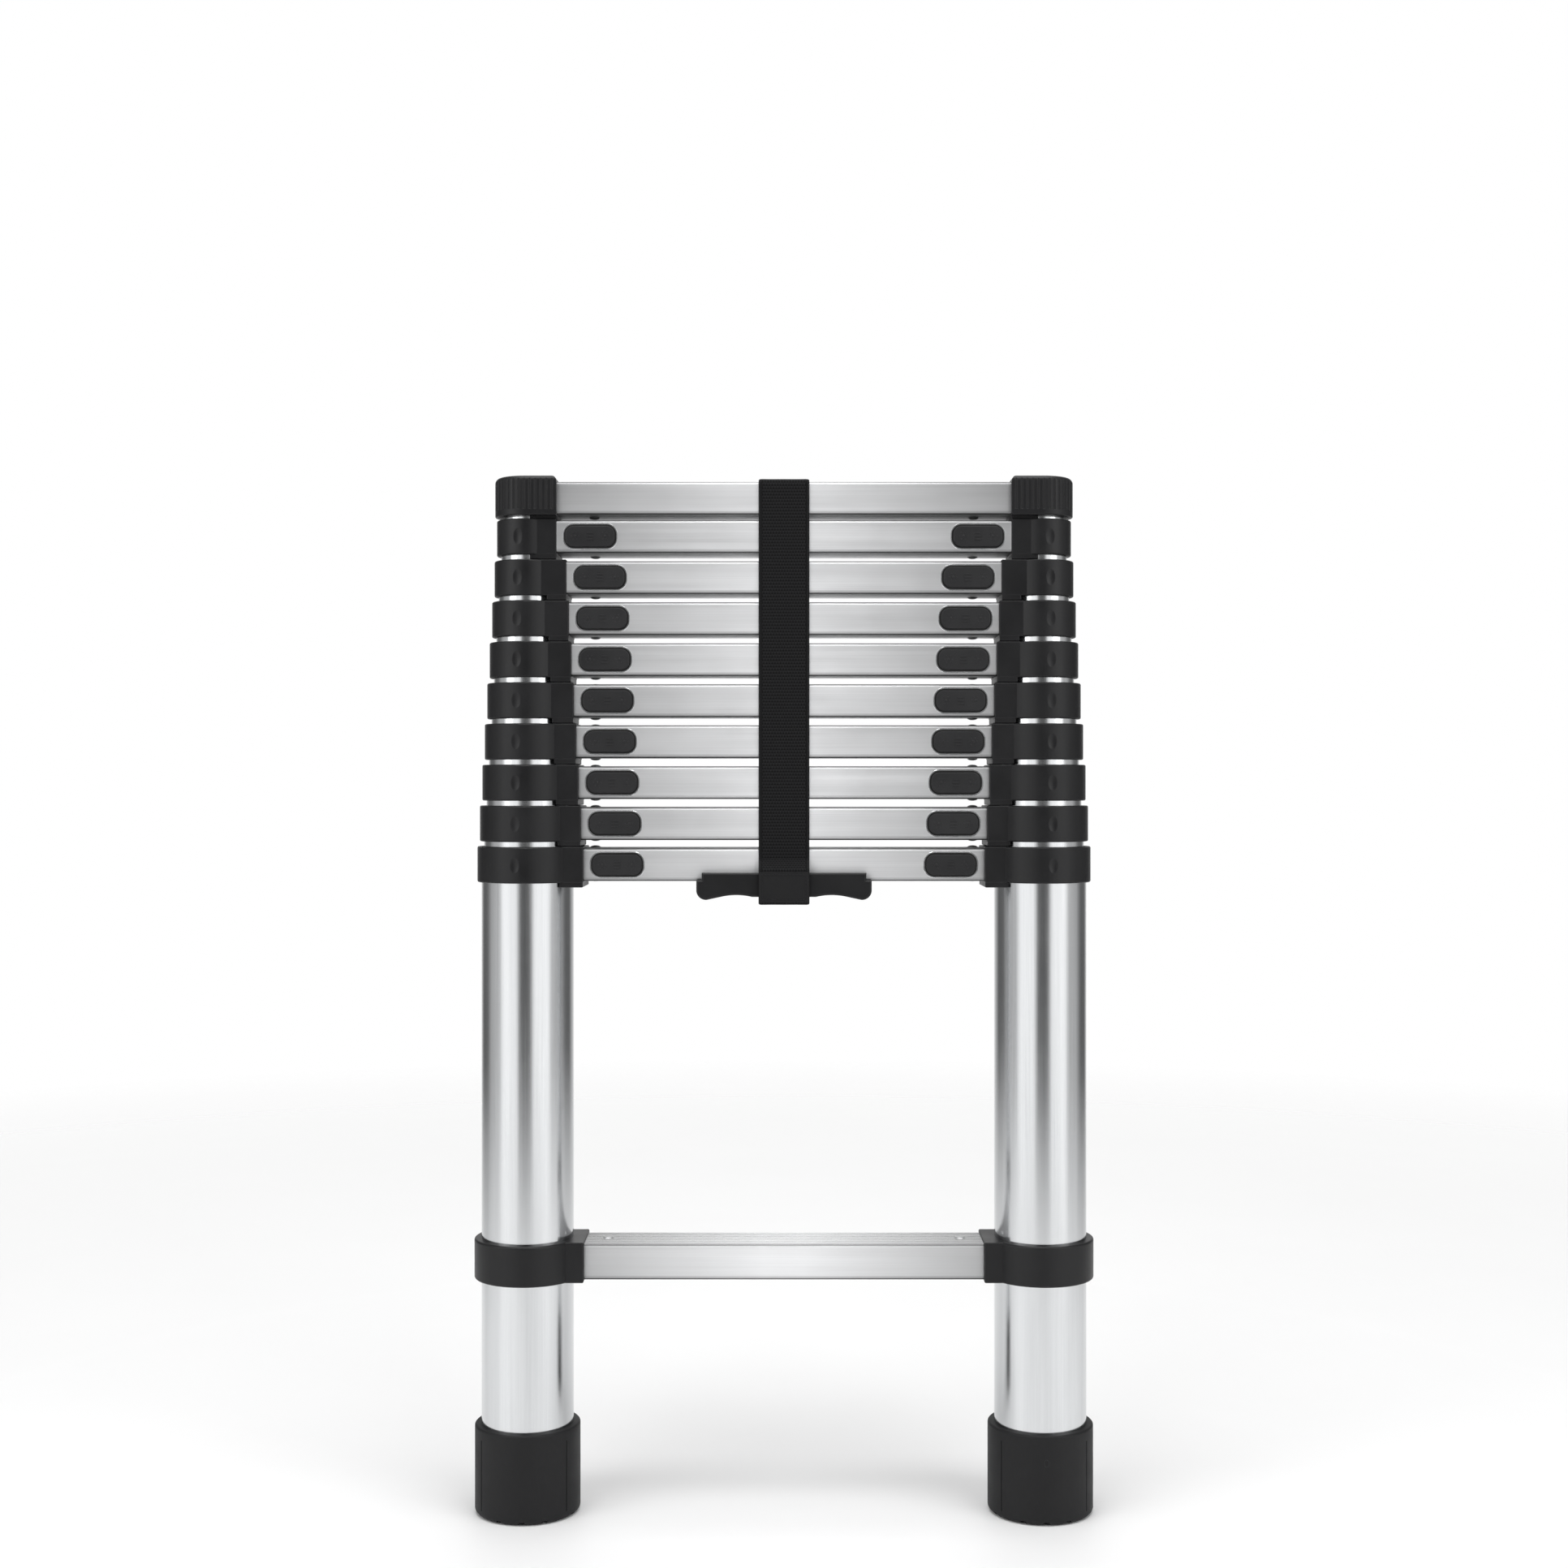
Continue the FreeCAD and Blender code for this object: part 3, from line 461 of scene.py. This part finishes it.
def stitch_rows(y, low, high, width):
    """Rows of short thread stitches round a sewn patch."""
    made = bmesh.new()
    inset = width / 2 - 0.0028

    pitch, length, thread, proud = 0.0026, 0.0018, 0.0005, 0.0002

    def stitch(x, z, long_x, long_z):
        half_x, half_z = long_x / 2, long_z / 2
        corners = [(x - half_x, z - half_z), (x + half_x, z - half_z),
                   (x + half_x, z + half_z), (x - half_x, z + half_z)]
        prism(made, [(px, y - proud, pz) for px, pz in corners], [(px, y + proud, pz) for px, pz in corners])

    for z in (low, high):
        for i in range(int(2 * inset / pitch) + 1):
            stitch(-inset + i * pitch, z, length, thread)
    for x in (-inset, inset):
        for i in range(1, int((high - low) / pitch)):
            stitch(x, low + i * pitch, thread, length)
    bmesh.ops.recalc_face_normals(made, faces=made.faces)
    return made


# ------------------------------------------------------------------ buttons

BEZEL_LENGTH, BEZEL_HEIGHT, BEZEL_CORNER, PAD_MARGIN = 0.0384, 0.0168, 0.0069, 0.0007
DOTS_OUT, DOTS_RADIUS = 0.0112, 0.0029  # a ring of dots: from the pad's middle, and its radius
BAR_PITCH = 0.0024


def outline(centre, half_x, half_z, radius, steps=10):
    """Points round a rounded rectangle, in (x, z)."""
    points = []
    for quarter, (sx, sz) in enumerate(((1, 1), (-1, 1), (-1, -1), (1, -1))):
        for step in range(steps + 1):
            angle = math.pi / 2 * (quarter + step / steps)
            points.append((
                centre[0] + sx * (half_x - radius) + radius * math.cos(angle),
                centre[1] + sz * (half_z - radius) + radius * math.sin(angle),
            ))
    return points


def flat_rings(number, steps):
    """Rings round both buttons of a rung, swept through (margin, how far proud) steps."""
    made = bmesh.new()
    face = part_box(f"rung_{number}")[0].y
    for side, sign in SIDES:
        low, high = bezel_box(number, sign)
        centre = ((low.x + high.x) / 2, (low.z + high.z) / 2)
        half_x, half_z = (high.x - low.x) / 2, (high.z - low.z) / 2
        swept_ring(made, [
            [(x, face - proud, z)
             for x, z in outline(centre, half_x + margin, half_z + margin, BEZEL_CORNER + margin)]
            for margin, proud in steps
        ])
    bmesh.ops.recalc_face_normals(made, faces=made.faces)
    return made


def surround(number):
    """The bright pressed rim of the rung's opening, and the black well between it and the pad: black plastic,
    painted far darker than the pad and collars as the shade in the gap round the pad.
    """
    body = f"section_{number - 1}"
    rim = ((0.0006, -0.0002), (0.0006, 0.0003), (0.0013, 0.0003), (0.0018, -0.0002))
    piece(f"opening_rims_{number}", flat_rings(number, rim), body, "rung_aluminium", MATERIALS["bright_rim"])
    # Painted shade: this ring of black plastic is darker than the pad and collars, for the shadow in the gap
    # round the pad.
    well = ((-0.0022, 0.00045), (0.0003, 0.00045), (0.0006, 0.0003), (0.0006, 0.0001), (-0.0022, 0.0003))
    piece(f"painted_shade_button_wells_{number}", flat_rings(number, well), body, "black_plastic", MATERIALS["well"])


def bezel_box(number, sign):
    """The bezel's extent, taken from the thumb pad that stands inside it."""
    side = "left" if sign < 0 else "right"
    low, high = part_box(f"release_button_{side}_{number}")
    inner = high.x if sign < 0 else low.x
    far = inner + PAD_MARGIN if sign < 0 else inner - PAD_MARGIN
    edge = far - BEZEL_LENGTH if sign < 0 else far + BEZEL_LENGTH
    middle = (low.z + high.z) / 2
    return (
        Vector((min(far, edge), low.y, middle - BEZEL_HEIGHT / 2)),
        Vector((max(far, edge), high.y, middle + BEZEL_HEIGHT / 2)),
    )


def dome(made, x, y, z, size, height, rings=4, around=16):
    """A low round bump that faces the front."""
    previous = None
    for ring in range(rings + 1):
        angle = math.pi / 2 * ring / rings
        across, out = size * math.cos(angle), height * math.sin(angle)
        if ring == rings:
            tip = made.verts.new((x, y - out, z))
            for i in range(around):
                made.faces.new((previous[i], previous[(i + 1) % around], tip))
            return
        current = [
            made.verts.new((x + across * math.cos(2 * math.pi * i / around), y - out,
                            z + across * math.sin(2 * math.pi * i / around)))
            for i in range(around)
        ]
        if previous:
            for i in range(around):
                k = (i + 1) % around
                made.faces.new((previous[i], previous[k], current[k], current[i]))
        else:
            made.faces.new(current[::-1])
        previous = current


def relief(number, side, sign):
    """Raised grip marks on a thumb pad: a ring of dots at each end and a bar between them."""
    made = bmesh.new()
    low, high = bezel_box(number, sign)
    x, z = (low.x + high.x) / 2, (low.z + high.z) / 2
    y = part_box(f"release_button_{side}_{number}")[0].y + 0.0001
    for end in (-1, 1):
        cx = x + end * DOTS_OUT
        dome(made, cx, y, z, 0.0011, 0.00045)
        for i in range(6):
            angle = math.pi * i / 3
            dot_x, dot_z = cx + DOTS_RADIUS * math.cos(angle), z + DOTS_RADIUS * math.sin(angle)
            dome(made, dot_x, y, dot_z, 0.0006, 0.0003, 3, 10)
    for row in (-1, 0, 1):
        ring = outline((x, z + row * BAR_PITCH), 0.0026, 0.0005, 0.0004, 4)
        prism(made, [(px, y - 0.0004, pz) for px, pz in ring], [(px, y + 0.0001, pz) for px, pz in ring])
    bmesh.ops.recalc_face_normals(made, faces=made.faces)
    piece(f"button_grip_{side}_{number}", made, f"button_{side}_{number}", "button_plastic")


# ------------------------------------------------------------------ feet


def foot_mark():
    """The tiny raised oval on the front of the right foot."""
    made = bmesh.new()
    low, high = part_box("right_foot")
    centre = ((low.x + high.x) / 2, low.z + 0.7 * (high.z - low.z))
    half_width, half_height = 0.0018, 0.0029
    swept_ring(made, [
        [(x, low.y - proud, z)
         for x, z in outline(centre, half_width - shrink, half_height - shrink, half_width - shrink)]
        for shrink, proud in ((0.0, -0.0004), (0.0, 0.0001), (0.0005, 0.0001), (0.0005, -0.0004))
    ])
    bmesh.ops.recalc_face_normals(made, faces=made.faces)
    piece("right_foot_mark", made, "section_0", "foot_rubber", MATERIALS["button_plastic"])


# ------------------------------------------------------------------ stage, light, camera


def make_stage():
    """A pale floor that fades out into the background."""
    made = bmesh.new()
    bmesh.ops.create_circle(made, cap_ends=True, segments=96, radius=9.0)
    mesh = bpy.data.meshes.new("floor")
    made.to_mesh(mesh)
    made.free()
    floor = bpy.data.objects.new("floor", mesh)
    floor.location.z = -0.0004
    bpy.context.scene.collection.objects.link(floor)
    n = Nodes("floor")
    n.shader.inputs["Roughness"].default_value = 0.55
    n.colours(n.noise((3.0, 3.0, 3.0)), (0.88, 0.88, 0.88), (0.90, 0.90, 0.90))
    length = n.tree.nodes.new("ShaderNodeVectorMath")
    length.operation = "LENGTH"
    n.link(n.coords, length.inputs[0])
    fade = n.remap(length.outputs["Value"], 0.0, 1.0, (0.8, 2.6))
    mix, clear = n.tree.nodes.new("ShaderNodeMixShader"), n.tree.nodes.new("ShaderNodeBsdfTransparent")
    n.link(fade, mix.inputs["Fac"])
    n.link(n.shader.outputs["BSDF"], mix.inputs[1])
    n.link(clear.outputs["BSDF"], mix.inputs[2])
    n.link(mix.outputs["Shader"], n.tree.nodes["Material Output"].inputs["Surface"])
    mesh.materials.append(n.material)


# Brightness of the surroundings, from 0 behind the object to 1 behind the camera. Fitted to
# the bands on the two base tubes at one height in the photo.
WORLD_BANDS = (
    (0.0, 0.95), (0.14, 0.75), (0.24, 0.14), (0.38, 0.16), (0.47, 0.50), (0.62, 0.60),
    (0.68, 1.35), (0.88, 1.25), (0.925, 0.16), (1.0, 0.10),
)


def make_world():
    """White behind the object; round it, bright panels with darker gaps for the metal to reflect."""
    world = bpy.data.worlds.new("studio")
    bpy.context.scene.world = world
    world.use_nodes = True
    tree = world.node_tree
    background = tree.nodes["Background"]

    def math_node(operation, a, b=None):
        made = tree.nodes.new("ShaderNodeMath")
        made.operation = operation
        for slot, value in enumerate((a, b)):
            if isinstance(value, (int, float)):
                made.inputs[slot].default_value = value
            elif value is not None:
                tree.links.new(value, made.inputs[slot])
        return made.outputs["Value"]

    coords = tree.nodes.new("ShaderNodeTexCoord").outputs["Generated"]
    split = tree.nodes.new("ShaderNodeSeparateXYZ")
    tree.links.new(coords, split.inputs["Vector"])
    sideways = math_node("ABSOLUTE", math_node("ARCTAN2", split.outputs["X"], split.outputs["Y"]))
    turned = math_node("DIVIDE", sideways, math.pi)  # 0 behind the object, 1 towards the camera
    ramp = tree.nodes.new("ShaderNodeValToRGB")
    set_greys(ramp, WORLD_BANDS)
    tree.links.new(turned, ramp.inputs["Fac"])
    path = tree.nodes.new("ShaderNodeLightPath")
    mix = tree.nodes.new("ShaderNodeMix")
    mix.data_type = "RGBA"
    colour_in = {socket.name: socket for socket in mix.inputs if socket.type == "RGBA"}
    colour_out = next(socket for socket in mix.outputs if socket.type == "RGBA")
    colour_in["B"].default_value = (1, 1, 1, 1)
    tree.links.new(path.outputs["Is Camera Ray"], mix.inputs["Factor"])
    tree.links.new(ramp.outputs["Color"], colour_in["A"])
    tree.links.new(colour_out, background.inputs["Color"])
    background.inputs["Strength"].default_value = 1.0


def add_light(name, place, target, size, power):
    data = bpy.data.lights.new(name, "AREA")
    data.shape = "RECTANGLE"
    data.size, data.size_y = size
    data.energy = power
    light = bpy.data.objects.new(name, data)
    light.location = place
    light.rotation_mode = "QUATERNION"
    light.rotation_quaternion = (Vector(target) - Vector(place)).to_track_quat("-Z", "Y")
    bpy.context.scene.collection.objects.link(light)


EYE_HEIGHT, CAMERA_DISTANCE, LENS = 0.554, 1.6, 48


def make_camera():
    """Level camera at the height and distance estimated from the photograph, square to the rungs."""
    data = bpy.data.cameras.new("camera")
    data.sensor_width, data.lens = 36, LENS
    camera = bpy.data.objects.new("camera", data)
    camera.location = (0, -CAMERA_DISTANCE, EYE_HEIGHT)
    camera.rotation_euler = (math.pi / 2, 0, 0)
    bpy.context.scene.collection.objects.link(camera)
    bpy.context.scene.camera = camera
    bpy.context.scene.view_settings.view_transform = "Standard"


dress_cad_nodes()
make_strap()
for number in BUTTON_RUNGS:
    surround(number)
    for side, sign in SIDES:
        relief(number, side, sign)
foot_mark()
make_stage()
make_world()
add_light("left_panel", (-2.4, -1.5, 1.7), (0, 0, 0.5), (1.4, 2.4), 14)
add_light("right_panel", (2.4, -1.5, 1.7), (0, 0, 0.5), (1.4, 2.4), 14)
add_light("overhead", (0, -0.4, 3.6), (0, 0, 0.4), (2.6, 2.6), 70)
make_camera()
